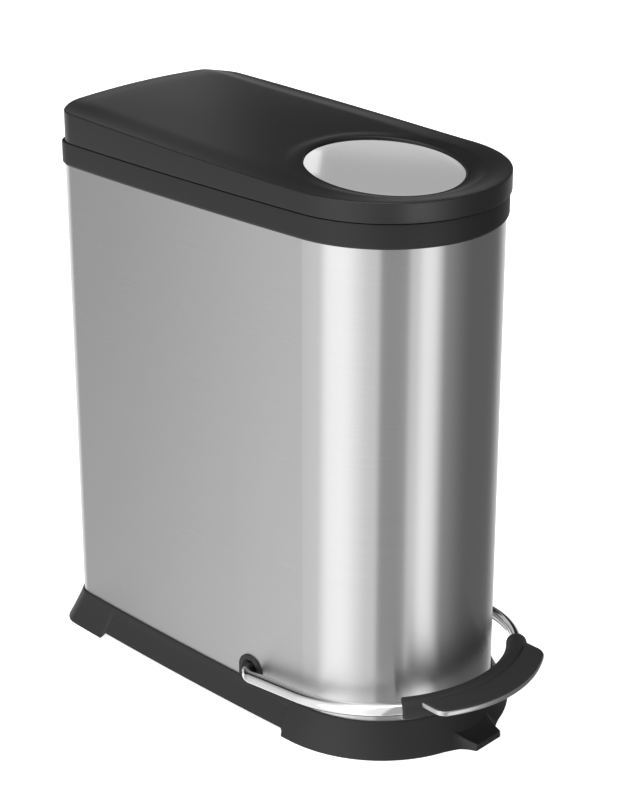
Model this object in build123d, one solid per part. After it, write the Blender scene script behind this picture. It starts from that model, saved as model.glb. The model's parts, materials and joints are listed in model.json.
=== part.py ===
from build123d import *
import math
import os

# ---------------------------------------------------------------------------
# Dual compartment pedal bin, D-shaped in plan, seen with its pedal at -Y.
# All sizes in millimetres, +Z up. The plan is laid out about the centre of
# the round front (y = 0 there); the whole model is moved by -Y_CENTRE on
# writing so that the origin is the bottom centre of the bounding box.
# ---------------------------------------------------------------------------

# --- steel body -------------------------------------------------------------
FRONT_R = 125.0          # radius of the round front, outside of the sheet
SIDE_BOW = 3.0           # how far each long side bulges out
SIDE_MID_Y = 175.0       # middle of the long side
REAR_Y = 374.5           # flat rear wall, outside of the sheet
REAR_CORNER_R = 24.0
SHEET_T = 0.8
SHELL_Z0, SHELL_Z1 = 31.0, 572.0     # hidden edges included
SHELL_VIS_Z0, SHELL_VIS_Z1 = 36.0, 563.2

# --- top rim ----------------------------------------------------------------
RIM_OUT = 3.0            # how far the rim stands proud of the sheet
RIM_TOP = 589.5
LEDGE_Z = 575.0          # the shelf that the bucket flanges rest on
OPEN_OFF = -7.0          # edge of the bucket opening above the shelf
LEDGE_OFF = -16.0        # inner edge of the shelf
OPEN_REAR_Y = 336.0      # rear end of the bucket opening

# --- base -------------------------------------------------------------------
BASE_FLARE = 20.5        # how far the foot of the base stands out
BASE_REAR_FLARE = 12.0
BASE_WALL = 3.0
BASE_TOP = 36.0
BASE_ARCH_H = 6.0        # raised edge between the front and the rear foot
FOOT_FRONT_Y = 9.0       # rear end of the front foot
FOOT_REAR_Y = 302.0      # front end of the rear foot
TRAY_Z0, TRAY_Z1 = 8.0, 11.0
TOE_ROOT_W, TOE_TIP_W, TOE_TIP_Y = 68.0, 40.0, -160.7
TOE_ROOT_Z, TOE_TIP_Z = 15.5, 8.0

# --- pedal ------------------------------------------------------------------
PIVOT_Y, PIVOT_Z = 73.0, 49.5
BAIL_R = 7.0             # outside radius of the bent tube
BAIL_WALL = 1.6
BAIL_LEG_X = 141.5
BAIL_BEND = 17.0
BAIL_TILT = 5.5          # degrees, front end up at rest
BAIL_ARC_U = 87.9        # distance from the pivot to the centre of the bend
SLEEVE_R = 11.5
SLEEVE_HALF_X = 94.5
TREAD_SLOPE = 1.25       # degrees that the tread falls towards the front at rest
TREAD_REF_Y, TREAD_REF_Z = -130.0, 79.6    # a point of the plate's top
TREAD_R1, TREAD_CY1 = 155.7, -35.4   # front edge: radius, centre
TREAD_R0, TREAD_CY0 = 165.5, 1.85    # edge along the sleeve
TREAD_HALF_X = 86.0
TREAD_CORNER = 15.0
TREAD_T = 5.6
PAD_T = 1.4
PEDAL_TRAVEL = 9.27      # degrees
LEVER_X, LEVER_T, LEVER_H = 113.0, 3.0, 16.0

# --- lid and hinge ----------------------------------------------------------
HINGE_Y, HINGE_Z = 383.5, 591.5
HINGE_R, PIN_R = 5.0, 2.0
LID_Z0 = 590.5
LID_SHIFT = -2.5         # the lid's plan sits this much further forward
LID_OUT = 3.0
LID_REAR_Y = 373.5
LID_CORNER_R = 30.0
LID_WALL = 2.8
DISC_R = 83.0
DISC_T = 1.2
DISC_DISH = 2.5          # the pressed disc is a shallow dish, this deep
DISH_R = 80.0
DISC_Z, DISC_SLOPE = 609.1, 0.09
LID_TRAVEL = 72.0        # degrees

# --- lift rod ---------------------------------------------------------------
CRANK_R = 38.0
ROD_Y = 349.0
ROD_R = 4.0
REAR_PIN_Z = 22.0

# --- buckets ----------------------------------------------------------------
BUCKET_T = 2.2
BUCKET_Z0, BUCKET_Z1 = 52.0, 579.0
SPLIT_Y = 112.0          # middle of the bar between the two buckets
WINDOW_Z, WINDOW_L, WINDOW_H = 552.0, 70.0, 28.0    # hand-hold windows

C36 = math.cos(math.radians(LID_TRAVEL / 2))
S36 = math.sin(math.radians(LID_TRAVEL / 2))
CRANK_Y = HINGE_Y - CRANK_R * C36
CRANK_Z = HINGE_Z - CRANK_R * S36

tilt = math.radians(BAIL_TILT)
fall = math.radians(TREAD_SLOPE)
TREAD_FRONT_Y = TREAD_REF_Y + (TREAD_CY1 - TREAD_R1 - TREAD_REF_Y) * math.cos(fall)
REARMOST_Y = HINGE_Y + HINGE_R
Y_CENTRE = (TREAD_FRONT_Y + REARMOST_Y) / 2

# side arc that is tangent to the round front
HALF_CHORD = SIDE_MID_Y
SIDE_R = HALF_CHORD ** 2 / (2 * SIDE_BOW) + SIDE_BOW / 2
SIDE_CX = SIDE_R - (FRONT_R + SIDE_BOW)
_d = math.hypot(SIDE_CX, SIDE_MID_Y)
TX, TY = -SIDE_CX / _d, -SIDE_MID_Y / _d


def side_x(y, off=0.0):
    """Half width of the plan at y."""
    if y < FRONT_R * TY:
        return math.sqrt(max(0.0, (FRONT_R + off) ** 2 - y ** 2))
    return math.sqrt((SIDE_R + off) ** 2 - (y - SIDE_MID_Y) ** 2) - SIDE_CX


def plan(off, z=0.0, rear=None, corner=None, dy=0.0):
    """Face of the D-shaped plan, off outside the sheet, at height z."""
    rear = REAR_Y + off if rear is None else rear
    corner = max(3.0, REAR_CORNER_R + off) if corner is None else corner
    r = FRONT_R + off
    tx, ty = TX * r, TY * r
    hx = side_x(rear, off)
    my = (ty + rear) / 2
    mx = side_x(my, off)
    lines = [
        ThreePointArc((tx, ty), (0, -r), (-tx, ty)),
        ThreePointArc((-tx, ty), (mx, my), (hx, rear)),
        Line((hx, rear), (-hx, rear)),
        ThreePointArc((-hx, rear), (-mx, my), (tx, ty)),
    ]
    f = make_face(lines)
    back = [v for v in f.vertices() if v.Y > rear - 1]
    f = fillet(back, corner)
    return Pos(0, dy, z) * f


def prism(off, z0, z1, **kw):
    return extrude(plan(off, z0, **kw), z1 - z0)


def box(x0, x1, y0, y1, z0, z1):
    return Pos((x0 + x1) / 2, (y0 + y1) / 2, (z0 + z1) / 2) * Box(abs(x1 - x0), abs(y1 - y0), abs(z1 - z0))


def cyl_x(r, x0, x1, y, z):
    return Pos((x0 + x1) / 2, y, z) * (Rot(0, 90, 0) * Cylinder(r, abs(x1 - x0)))


def cyl_y(r, y0, y1, x, z):
    return Pos(x, (y0 + y1) / 2, z) * (Rot(90, 0, 0) * Cylinder(r, abs(y1 - y0)))


def cyl_z(r, z0, z1, x, y):
    return Pos(x, y, (z0 + z1) / 2) * Cylinder(r, z1 - z0)


def yz_plate(points, x0, x1):
    """Plate of a polygon given as (y, z), from x0 to x1."""
    w = Polyline(*[(y, z) for y, z in points], close=True)
    f = Plane.YZ * make_face(w)
    return Pos(x0, 0, 0) * extrude(f, x1 - x0, dir=(1, 0, 0))


parts = {}


def add(name, shape):
    parts[name] = shape


# ---------------------------------------------------------------------------
# 1. wrapped sheet steel body
# ---------------------------------------------------------------------------
shell = prism(0, SHELL_Z0, SHELL_Z1) - prism(-SHEET_T, SHELL_Z0 - 1, SHELL_Z1 + 1)
notch = cyl_x(15.4, -140, 140, PIVOT_Y, PIVOT_Z) + box(-140, 140, PIVOT_Y - 15.4, PIVOT_Y + 15.4, SHELL_Z0 - 2, PIVOT_Z)
shell = shell - notch
add("body_shell", shell)

# joining strip behind the seam of the wrapped sheet
add("seam_strip", box(-12, 12, REAR_Y - SHEET_T - 1.0, REAR_Y - SHEET_T, 60, 548))

# ---------------------------------------------------------------------------
# 2. base moulding: flared skirt, tray, locating lip, toe
# ---------------------------------------------------------------------------


def flare(z):
    """Outside of the base at height z."""
    t = min(1.0, max(0.0, 1 - z / BASE_TOP))
    return 2.0 + (BASE_FLARE - 2.0) * t ** 1.12


def rear_flare(z):
    t = min(1.0, max(0.0, 1 - z / BASE_TOP))
    return REAR_Y + 2.0 + (BASE_REAR_FLARE - 2.0) * t ** 1.12


def flared(z0, z1, inset, n=4):
    secs = []
    for i in range(n):
        z = z0 + (z1 - z0) * i / (n - 1)
        zz = min(max(z, 0), BASE_TOP)
        secs.append(plan(flare(zz) - inset, z, rear=rear_flare(zz) - inset, corner=27.0 + 4 * (1 - zz / BASE_TOP) - inset))
    return loft(secs, ruled=False)


base = flared(0, BASE_TOP, 0)
base = base - flared(TRAY_Z1, 28.0, BASE_WALL)                 # room above the tray
base = base - prism(-6.0, 27.0, 60.0)                          # open top inside the shelf
base = base - flared(0, TRAY_Z0, BASE_WALL, n=2)               # hollow underside
lip = prism(-1.4, 33.0, 47.0) - prism(-3.8, 32.0, 48.0)
base = base + lip
base = base - (prism(0.1, SHELL_Z0, 37.0) - prism(-0.9, SHELL_Z0 - 1, 38.0))   # groove for the sheet
# raised edge between the feet, on both long sides
arch = box(-170, 170, FOOT_FRONT_Y, FOOT_REAR_Y, -1, BASE_ARCH_H)
base = base - arch
# the skirt between the feet is set back a little
RECESS = 1.7
set_back = (flared(0, 31.0, -4.0) - flared(-0.5, 31.5, RECESS)) & box(-170, 170, FOOT_FRONT_Y + 1.5, FOOT_REAR_Y - 1.5, -1, 31.0)
base = base - set_back
# toe that steadies the bin when the pedal is pressed
toe_pts = [(-TOE_ROOT_W / 2, -136.0), (TOE_ROOT_W / 2, -136.0), (TOE_TIP_W / 2, TOE_TIP_Y), (-TOE_TIP_W / 2, TOE_TIP_Y)]
toe = extrude(make_face(Polyline(*toe_pts, close=True)), 40)
toe_cut = yz_plate([(-120, TOE_ROOT_Z + 8), (-136, TOE_ROOT_Z), (TOE_TIP_Y, TOE_TIP_Z), (TOE_TIP_Y - 20, TOE_TIP_Z - 13), (TOE_TIP_Y - 20, 60), (-120, 60)], -60, 60)
toe = toe - toe_cut
toe = toe & box(-60, 60, -170, -134.5, -1, 50)
toe = toe - flared(0, BASE_TOP, BASE_WALL - 0.5)
base = base + toe
# posts that carry the floor plate, and bosses for its screws
POSTS = [(-60, -70), (60, -70), (-85, 40), (85, 40), (-70, 200), (70, 200), (-70, 315), (70, 315)]
for x, y in POSTS:
    base = base + cyl_z(6, TRAY_Z1 - 0.5, 46.0, x, y)
# notches for the pedal bushes
for s in (-1, 1):
    base = base - cyl_x(12.3, s * 115, s * 160, PIVOT_Y, PIVOT_Z)
    base = base - box(s * 115, s * 160, PIVOT_Y - 12.3, PIVOT_Y + 12.3, PIVOT_Z, 60)

floor_screws = None
for x, y in POSTS:
    s = cyl_z(3.6, 48.5, 50.3, x, y) + cyl_z(1.7, 32.0, 48.5, x, y)
    floor_screws = s if floor_screws is None else floor_screws + s
base = base - floor_screws
add("base_moulding", base)

# raised floor under the buckets; narrower behind the pivots, where the levers run beside it
floor = prism(-5.5, 46.0, 48.5, rear=57.0, corner=4.0)
floor = floor + box(-104, 104, 50, 333, 46.0, 48.5)
floor = floor - floor_screws
for y0, y1 in ((-40, 20), (150, 210), (240, 290)):       # stiffening ribs below
    floor = floor + box(-50, 50, (y0 + y1) / 2 - 1.2, (y0 + y1) / 2 + 1.2, 40.0, 46.0)
add("floor_plate", floor)
add("floor_screws", floor_screws)

# rubber pads under the feet
pads = None
for x, y in ((-95, -60), (95, -60), (-120, 340), (120, 340)):
    p = cyl_z(7, 0.0, TRAY_Z0, x, y)
    pads = p if pads is None else pads + p
add("foot_pads", pads)

# ---------------------------------------------------------------------------
# 3. pedal bushes, one in each long side
# ---------------------------------------------------------------------------
WALL_X = side_x(PIVOT_Y)
for s, name in ((-1, "pedal_bush_left"), (1, "pedal_bush_right")):
    b = cyl_x(12.0, s * 117.5, s * (WALL_X + 2.6), PIVOT_Y, PIVOT_Z)
    up = box(s * 110, s * 140, PIVOT_Y - 25, PIVOT_Y + 25, BASE_TOP + 0.2, 80)
    flange = cyl_x(16.8, s * (WALL_X + 0.15), s * (WALL_X + 2.2), PIVOT_Y, PIVOT_Z)
    flange = flange + box(s * (WALL_X + 0.15), s * (WALL_X + 2.2), PIVOT_Y - 16.8, PIVOT_Y + 16.8, 30, PIVOT_Z)
    core = cyl_x(15.2, s * 123.2, s * (WALL_X + 0.15), PIVOT_Y, PIVOT_Z)
    core = core + box(s * 123.2, s * (WALL_X + 0.15), PIVOT_Y - 15.2, PIVOT_Y + 15.2, 30, PIVOT_Z)
    inner = cyl_x(15.0, s * 117.5, s * 119.5, PIVOT_Y, PIVOT_Z)
    b = b + (flange & up) + (core & box(s * 110, s * 140, PIVOT_Y - 25, PIVOT_Y + 25, BASE_TOP + 0.2, 80))
    b = b - cyl_x(BAIL_R + 0.07, s * 110, s * 135, PIVOT_Y, PIVOT_Z)
    mouth = Pos(s * (WALL_X + 2.6 - 2.5), PIVOT_Y, PIVOT_Z) * (Rot(0, 90 * s, 0) * Cone(BAIL_R + 0.07, 11.2, 5.0))
    b = b - mouth
    b = b - (prism(0.1, SHELL_Z0, 80.0) - prism(-0.9, SHELL_Z0 - 1, 81.0) - notch)
    b = b - base
    add(name, b)

# ---------------------------------------------------------------------------
# 4. top rim
# ---------------------------------------------------------------------------
rim = prism(RIM_OUT, SHELL_VIS_Z1 + 3.0, RIM_TOP) + loft([plan(0.9, SHELL_VIS_Z1), plan(RIM_OUT, SHELL_VIS_Z1 + 3.0)], ruled=True)
rim = rim - prism(OPEN_OFF, LEDGE_Z, RIM_TOP + 1, rear=OPEN_REAR_Y, corner=12.0)
rim = rim - prism(LEDGE_OFF, 560, LEDGE_Z + 1, rear=OPEN_REAR_Y - 9, corner=8.0)
rim = rim - (prism(LEDGE_OFF, 560.0, 571.0, rear=OPEN_REAR_Y - 9) + (prism(-4.0, 560.0, 571.0) - box(-200, 200, 320, 345, 559, 572)))
rim = rim - box(-104, 104, OPEN_REAR_Y + 0.8, REAR_Y - 5.5, 560, RIM_TOP - 4.5)
rim = rim + (prism(-1.4, 553.0, 572.0) - prism(-3.9, 552.0, 573.0))
rim = rim - (prism(0.1, 560.0, SHELL_Z1) - prism(-0.9, 559.0, SHELL_Z1 + 1))
crank_slot = box(-15, 15, OPEN_REAR_Y - 0.2, REAR_Y - 5.6, LEDGE_Z, RIM_TOP + 1)
rim = rim - crank_slot
# bar between the buckets
bar = box(-side_x(SPLIT_Y, -6.5), side_x(SPLIT_Y, -6.5), SPLIT_Y - 9, SPLIT_Y + 9, 571.0, LEDGE_Z)
rim = rim + bar
# hinge knuckle and its root, behind the rear wall
knuckle = cyl_x(HINGE_R, -46, 46, HINGE_Y, HINGE_Z)
root = yz_plate([(REAR_Y + 1.5, 572), (REAR_Y + 4.5, 573), (HINGE_Y + 3.2, HINGE_Z - 3.6), (HINGE_Y - 3.6, HINGE_Z - 1.0), (REAR_Y + 1.5, RIM_TOP - 0.5)], -46, 46)
knuckle = knuckle + root
rim = rim + knuckle - cyl_x(PIN_R, -47, 47, HINGE_Y, HINGE_Z)
add("top_rim", rim)
add("hinge_pin", cyl_x(PIN_R, -63, 63, HINGE_Y, HINGE_Z))

# channel cover between the rear bucket and the lift rod
COVER_REAR = REAR_Y - SHEET_T
cover = box(-24, 24, 334.6, 336.4, 76, 563.0)
cover = cover + box(-24, -22, 336, COVER_REAR, 76, 552.5) + box(22, 24, 336, COVER_REAR, 76, 552.5)
add("rod_cover", cover)

# guides that keep the rod upright
for name, z in (("rod_guide_lower", 110.0), ("rod_guide_upper", 500.0)):
    g = box(-22, 22, 338.0, COVER_REAR - 1.0, z, z + 8) - cyl_z(ROD_R + 0.08, z - 1, z + 9, 0, ROD_Y)
    add(name, g)

# ---------------------------------------------------------------------------
# 5. buckets
# ---------------------------------------------------------------------------


def bucket(front):
    top, bot = -17.0, -23.0
    if front:
        y0, y1 = None, SPLIT_Y - 2.0
        o = loft([plan(bot, BUCKET_Z0, rear=y1 - 12, corner=12), plan(top, BUCKET_Z1 - 3, rear=y1 - 9.5, corner=12)], ruled=True)
        i = loft([plan(bot - BUCKET_T, BUCKET_Z0 + BUCKET_T, rear=y1 - 12 - BUCKET_T, corner=12 - BUCKET_T),
                  plan(top - BUCKET_T, BUCKET_Z1 + 0.5, rear=y1 - 9.5 - BUCKET_T, corner=12 - BUCKET_T)], ruled=True)
        fl = prism(-8.0, LEDGE_Z + 0.3, BUCKET_Z1 - 0.2, rear=y1, corner=10)
        fl = fl + (prism(-8.0, LEDGE_Z + 0.3, BUCKET_Z1, rear=y1, corner=10) - prism(-10.0, LEDGE_Z, BUCKET_Z1 + 1, rear=y1 - 2, corner=8))
    else:
        y0, y1 = SPLIT_Y + 2.0, OPEN_REAR_Y - 1.0

        def rect(off, z, a, b, r):
            m = (a + b) / 2
            f = make_face([
                Line((-side_x(a, off), a), (side_x(a, off), a)),
                ThreePointArc((side_x(a, off), a), (side_x(m, off), m), (side_x(b, off), b)),
                Line((side_x(b, off), b), (-side_x(b, off), b)),
                ThreePointArc((-side_x(b, off), b), (-side_x(m, off), m), (-side_x(a, off), a)),
            ])
            return Pos(0, 0, z) * fillet(f.vertices(), r)

        o = loft([rect(bot, BUCKET_Z0, y0 + 12, y1 - 12, 12), rect(top, BUCKET_Z1 - 3, y0 + 9.5, y1 - 9.5, 12)], ruled=True)
        i = loft([rect(bot - BUCKET_T, BUCKET_Z0 + BUCKET_T, y0 + 12 + BUCKET_T, y1 - 12 - BUCKET_T, 12 - BUCKET_T),
                  rect(top - BUCKET_T, BUCKET_Z1 + 0.5, y0 + 9.5 + BUCKET_T, y1 - 9.5 - BUCKET_T, 12 - BUCKET_T)], ruled=True)
        fl = extrude(rect(-8.0, LEDGE_Z + 0.3, y0, y1, 10), BUCKET_Z1 - 0.5 - LEDGE_Z)
    b = (o + fl) - i
    # hand-hold window below the flange in each long side
    ym = (y1 + (y0 if y0 is not None else -30)) / 2
    for s in (-1, 1):
        b = b - box(s * 92, s * 125, ym - WINDOW_L / 2, ym + WINDOW_L / 2, WINDOW_Z - WINDOW_H / 2, WINDOW_Z + WINDOW_H / 2)
        for e in (-1, 1):
            b = b - cyl_x(WINDOW_H / 2, s * 92, s * 125, ym + e * WINDOW_L / 2, WINDOW_Z)
    return b


add("bucket_front", bucket(True))
add("bucket_rear", bucket(False))

# ---------------------------------------------------------------------------
# 6. lid
# ---------------------------------------------------------------------------


def smooth(t):
    t = min(1.0, max(0.0, t))
    return t * t * (3 - 2 * t)


def crease(y):
    """Height of the lid's upper edge at y."""
    s = 0.5 * (y + math.sqrt(y * y + 40.0 ** 2)) - 20.0
    return 612.5 + 0.0357 * s


def lid_top(x, y):
    yy = y - LID_SHIFT
    if yy < 0:
        d = FRONT_R + LID_OUT - math.hypot(x, yy)
    else:
        d = side_x(min(max(yy, 0), 400), LID_OUT) - abs(x)
    w = smooth(d / 36.0)
    ramp = smooth((y - 60) / 260.0)
    p = 613.0 + 0.0575 * y - 3.0 * (x / 93.0) ** 2 * ramp
    # slight roll-off towards the rear edge
    p -= 1.6 * smooth((y - 345) / 30.0)
    z = crease(y) + (p - crease(y)) * w
    # soft dish round the disc, down to the lip of its recess
    r = math.hypot(x, y)
    lip = 611.2 + 0.10 * max(-90.0, min(90.0, y))
    z += (lip - z) * smooth((104.0 - r) / 20.0)
    return z


NX, NY = 31, 59
GX0, GX1, GY0, GY1 = -140.0, 140.0, -142.0, 388.0
grid = [[Vector(GX0 + (GX1 - GX0) * i / (NX - 1), GY0 + (GY1 - GY0) * j / (NY - 1),
                lid_top(GX0 + (GX1 - GX0) * i / (NX - 1), GY0 + (GY1 - GY0) * j / (NY - 1))) for j in range(NY)] for i in range(NX)]
top_face = Face.make_surface_from_array_of_points(grid, tol=0.05, smoothing=(1, 1, 1), max_deg=5)


def under(face, depth):
    return extrude(face, depth, dir=(0, 0, -1))


KW = dict(rear=LID_REAR_Y, corner=LID_CORNER_R)


def lid_plan(inset, z0, z1):
    return Pos(0, LID_SHIFT, 0) * extrude(
        plan(LID_OUT - inset, z0, rear=LID_REAR_Y - LID_SHIFT - inset, corner=LID_CORNER_R - inset), z1 - z0)


full = under(top_face, 60) & lid_plan(0, LID_Z0, 660)
hollow = under(Pos(0, 0, -LID_WALL) * top_face, 60) & lid_plan(LID_WALL, LID_Z0 - 5, 660)
lid = full - hollow
disc_tilt = math.degrees(math.atan(DISC_SLOPE))
disc_frame = Pos(0, 0, DISC_Z) * Rot(disc_tilt, 0, 0)
# well for the steel disc: thicker floor below it, then the recess above it
well = (disc_frame * (Pos(0, 0, -1.55) * Cylinder(DISC_R + 3.5, 6.7))) & under(top_face, 60)
lid = lid + well
lid = lid - disc_frame * (Pos(0, 0, 8.8) * Cylinder(DISC_R + 0.15, 20.0) + Pos(0, 0, -2.4) * Cylinder(DISH_R + 0.5, 3.0))
# clipped bosses for the liner's screws
BOSSES = [(-70, 130), (70, 130), (-95, 250), (95, 250), (-60, 340), (60, 340), (-95, 60), (95, 60)]
LINER_Z0, LINER_Z1 = 594.0, 596.0
bosses = None
for x, y in BOSSES:
    b = cyl_z(4.5, LINER_Z1, 650, x, y)
    bosses = b if bosses is None else bosses + b
pad_block = box(-11, 11, 344, 369.5, 604.5, 650)
lid = lid + ((bosses + pad_block) & under(Pos(0, 0, -1.0) * top_face, 60) & lid_plan(1.0, 591, 660))
# hinge ears, outboard of the rim's knuckle
for s in (-1, 1):
    ear = cyl_x(HINGE_R, s * 46.6, s * 60, HINGE_Y, HINGE_Z)
    arm = yz_plate([(LID_REAR_Y - 1.0, 594.0), (HINGE_Y - 3.0, HINGE_Z - 0.5), (HINGE_Y + 3.0, HINGE_Z + 4.0), (HINGE_Y - 2.0, HINGE_Z + 7.5), (LID_REAR_Y - 1.0, 606.0)], s * 46.6, s * 60)
    lid = lid + ear + arm
    lid = lid - cyl_x(PIN_R + 0.06, s * 46, s * 61, HINGE_Y, HINGE_Z)
liner_screws = None
for x, y in BOSSES:
    s = cyl_z(3.4, 592.4, 594.0, x, y) + cyl_z(1.6, 594.0, 603.0, x, y)
    liner_screws = s if liner_screws is None else liner_screws + s
crank_screws = None
for y in (350.0, 364.0):
    s = cyl_z(3.2, 600.6, 602.0, 0, y) + cyl_z(1.6, 602.0, 614.0, 0, y)
    crank_screws = s if crank_screws is None else crank_screws + s
lid = lid - liner_screws - crank_screws
add("lid_shell", lid)
ball_r = (DISH_R ** 2 + DISC_DISH ** 2) / (2 * DISC_DISH)
disc = Pos(0, 0, -DISC_T / 2) * Cylinder(DISC_R, DISC_T)
disc = disc + (Pos(0, 0, -DISC_T - DISC_DISH / 2) * Cylinder(DISH_R, DISC_DISH) & Pos(0, 0, ball_r - DISC_DISH - DISC_T) * Sphere(ball_r))
disc = disc - Pos(0, 0, ball_r - DISC_DISH) * Sphere(ball_r)
add("lid_disc", disc_frame * disc)

liner = Pos(0, LID_SHIFT, 0) * extrude(plan(LID_OUT - LID_WALL - 1.2, LINER_Z0, rear=LID_REAR_Y - LID_SHIFT - 5, corner=24), LINER_Z1 - LINER_Z0)
liner = liner - box(-14, 14, 334, 380, 590, 600) - liner_screws
add("lid_liner", liner)
add("liner_screws", liner_screws)

crank = box(-9, 9, 345, 369, 602.0, 604.5)
cheek = [(345, 604.5), (369, 604.5), (369, 596), (362, 575), (CRANK_Y + 5, CRANK_Z - 4), (CRANK_Y - 1, CRANK_Z - 6), (CRANK_Y - 6, CRANK_Z - 2), (345, 590)]
for s in (-1, 1):
    crank = crank + yz_plate(cheek, min(s * 6, s * 9), max(s * 6, s * 9))
crank = crank - cyl_x(3.0, -12, 12, CRANK_Y, CRANK_Z) - crank_screws
add("lid_crank", crank)
add("crank_pin", cyl_x(3.0, -11, 11, CRANK_Y, CRANK_Z))
add("crank_screws", crank_screws)

# soft stops in the underside of the skirt
stops = None
for x, y in ((-122.6, 60), (122.6, 60), (-122.6, 300), (122.6, 300)):
    s = cyl_z(2.6, LID_Z0 - 0.9, LINER_Z0, x, y)
    stops = s if stops is None else stops + s
liner2 = parts["lid_liner"]
add("lid_stops", stops)

# ---------------------------------------------------------------------------
# 7. pedal: bent tube, sleeve, tread, levers
# ---------------------------------------------------------------------------
bail_frame = Plane(origin=(0, PIVOT_Y, PIVOT_Z), x_dir=(1, 0, 0), z_dir=(0, math.sin(tilt), math.cos(tilt)))
# in this frame local x is X, local y points to the rear, so forward is -y


def bail_path(x_in):
    u1 = BAIL_BEND
    q = BAIL_BEND * (1 - math.sqrt(0.5))
    xo = BAIL_LEG_X
    c = BAIL_ARC_U
    return [
        Line((-x_in, 0), (-(xo - BAIL_BEND), 0)),
        ThreePointArc((-(xo - BAIL_BEND), 0), (-(xo - q), -q), (-xo, -u1)),
        Line((-xo, -u1), (-xo, -c)),
        ThreePointArc((-xo, -c), (0, -c - xo), (xo, -c)),
        Line((xo, -c), (xo, -u1)),
        ThreePointArc((xo, -u1), (xo - q, -q), (xo - BAIL_BEND, 0)),
        Line((xo - BAIL_BEND, 0), (x_in, 0)),
    ]


def bail_sweep(r, x_in):
    w = Wire([bail_frame * e for e in bail_path(x_in)])
    sec = Plane(origin=(-x_in, PIVOT_Y, PIVOT_Z), z_dir=(-1, 0, 0)) * Circle(r)
    return sweep(sec, path=w)


tube = bail_sweep(BAIL_R, 111.0) - bail_sweep(BAIL_R - BAIL_WALL, 111.0)
add("pedal_bail", tube)

sleeve = bail_frame * (Pos(0, -BAIL_ARC_U, 0) * (Torus(BAIL_LEG_X, SLEEVE_R) - Torus(BAIL_LEG_X, BAIL_R)))
cut = bail_frame * (Pos(0, -BAIL_ARC_U - 120, 0) * Box(2 * SLEEVE_HALF_X, 170, 60))
sleeve = sleeve & cut


tread_frame = Plane(origin=(0, TREAD_REF_Y, TREAD_REF_Z), x_dir=(1, 0, 0), z_dir=(0, -math.sin(fall), math.cos(fall)))


def tread(inset, v0, v1):
    """Crescent between the sleeve and the front edge, v0 to v1 above the plate's top."""
    r1, r0, hx = TREAD_R1 - inset, TREAD_R0, TREAD_HALF_X - inset
    c1, c0 = TREAD_CY1 - TREAD_REF_Y, TREAD_CY0 - TREAD_REF_Y
    yo = c1 - math.sqrt(r1 ** 2 - hx ** 2)
    yi = c0 - math.sqrt(r0 ** 2 - hx ** 2)
    f = make_face([
        ThreePointArc((-hx, yo), (0, c1 - r1), (hx, yo)),
        Line((hx, yo), (hx, yi)),
        ThreePointArc((hx, yi), (0, c0 - r0), (-hx, yi)),
        Line((-hx, yi), (-hx, yo)),
    ])
    front = sorted(f.vertices(), key=lambda v: v.Y)[:2]
    f = fillet(front, TREAD_CORNER - inset)
    return tread_frame * (Pos(0, 0, v0) * extrude(f, v1 - v0))


plate = tread(0, -TREAD_T, 0)
plate = plate - bail_frame * (Pos(0, -BAIL_ARC_U, 0) * Torus(BAIL_LEG_X, SLEEVE_R - 1.5))
pad = tread(1.2, 0, PAD_T)
pad = pad - bail_frame * (Pos(0, -BAIL_ARC_U, 0) * Torus(BAIL_LEG_X, SLEEVE_R))
sleeve = sleeve - plate
tread_screws = None
for x, y in ((-50, -170), (0, -177), (50, -170)):
    s = tread_frame * (Pos(x, y - TREAD_REF_Y, -TREAD_T - 0.8) * Cylinder(3.4, 1.6) + Pos(x, y - TREAD_REF_Y, -TREAD_T + 1.5) * Cylinder(1.6, 3.0))
    tread_screws = s if tread_screws is None else tread_screws + s
plate = plate - tread_screws
add("pedal_sleeve", sleeve)
add("tread_plate", plate)
add("tread_pad", pad)
add("tread_screws", tread_screws)

# levers from the tube ends back to the cross bar
for s, name in ((-1, "lever_left"), (1, "lever_right")):
    x0, x1 = s * LEVER_X, s * (LEVER_X + LEVER_T)
    h = LEVER_H / 2
    ly = ROD_Y + 7
    lv = yz_plate([(PIVOT_Y - 9, PIVOT_Z - h), (PIVOT_Y - 9, PIVOT_Z + h), (PIVOT_Y + 6, PIVOT_Z + h), (ly, REAR_PIN_Z + 6.5), (ly, REAR_PIN_Z - 6.5), (PIVOT_Y + 6, PIVOT_Z - h)], min(x0, x1), max(x0, x1))
    lv = lv - cyl_x(BAIL_R, s * 105, s * 120, PIVOT_Y, PIVOT_Z) - cyl_x(4.0, s * 105, s * 120, ROD_Y, REAR_PIN_Z)
    add(name, lv)
add("lever_crossbar", cyl_x(4.0, -117.5, 117.5, ROD_Y, REAR_PIN_Z))
# collars that pin the tube to the levers
collars = None
for s in (-1, 1):
    c = cyl_x(9.5, s * 108.5, s * 113.0, PIVOT_Y, PIVOT_Z) - cyl_x(BAIL_R, s * 111.0, s * 114.0, PIVOT_Y, PIVOT_Z) 
    collars = c if collars is None else collars + c
add("lever_collars", collars)

# ---------------------------------------------------------------------------
# 8. lift rod: foot with a slot round the cross bar, rod, head with a slot
#    round the crank pin
# ---------------------------------------------------------------------------
foot = box(-6, 6, ROD_Y - 10, ROD_Y + 10, REAR_PIN_Z - 10, REAR_PIN_Z + 16)
foot = foot - box(-7, 7, ROD_Y - 6.2, ROD_Y + 6.2, REAR_PIN_Z - 4.8, REAR_PIN_Z + 4.8)
head = box(-4.5, 4.5, ROD_Y - 11.5, ROD_Y + 11.5, CRANK_Z - 12, CRANK_Z + 8.5)
bulge = CRANK_R * (1 - C36)
head = head - box(-5, 5, CRANK_Y - bulge - 4.2, CRANK_Y + 4.2, CRANK_Z - 4.3, CRANK_Z + 4.3)
rod = cyl_z(ROD_R, REAR_PIN_Z + 9, CRANK_Z - 6.5, 0, ROD_Y)
foot = foot - rod
head = head - rod
add("rod_foot", foot)
add("rod_head", head)
add("lift_rod", rod)

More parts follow.
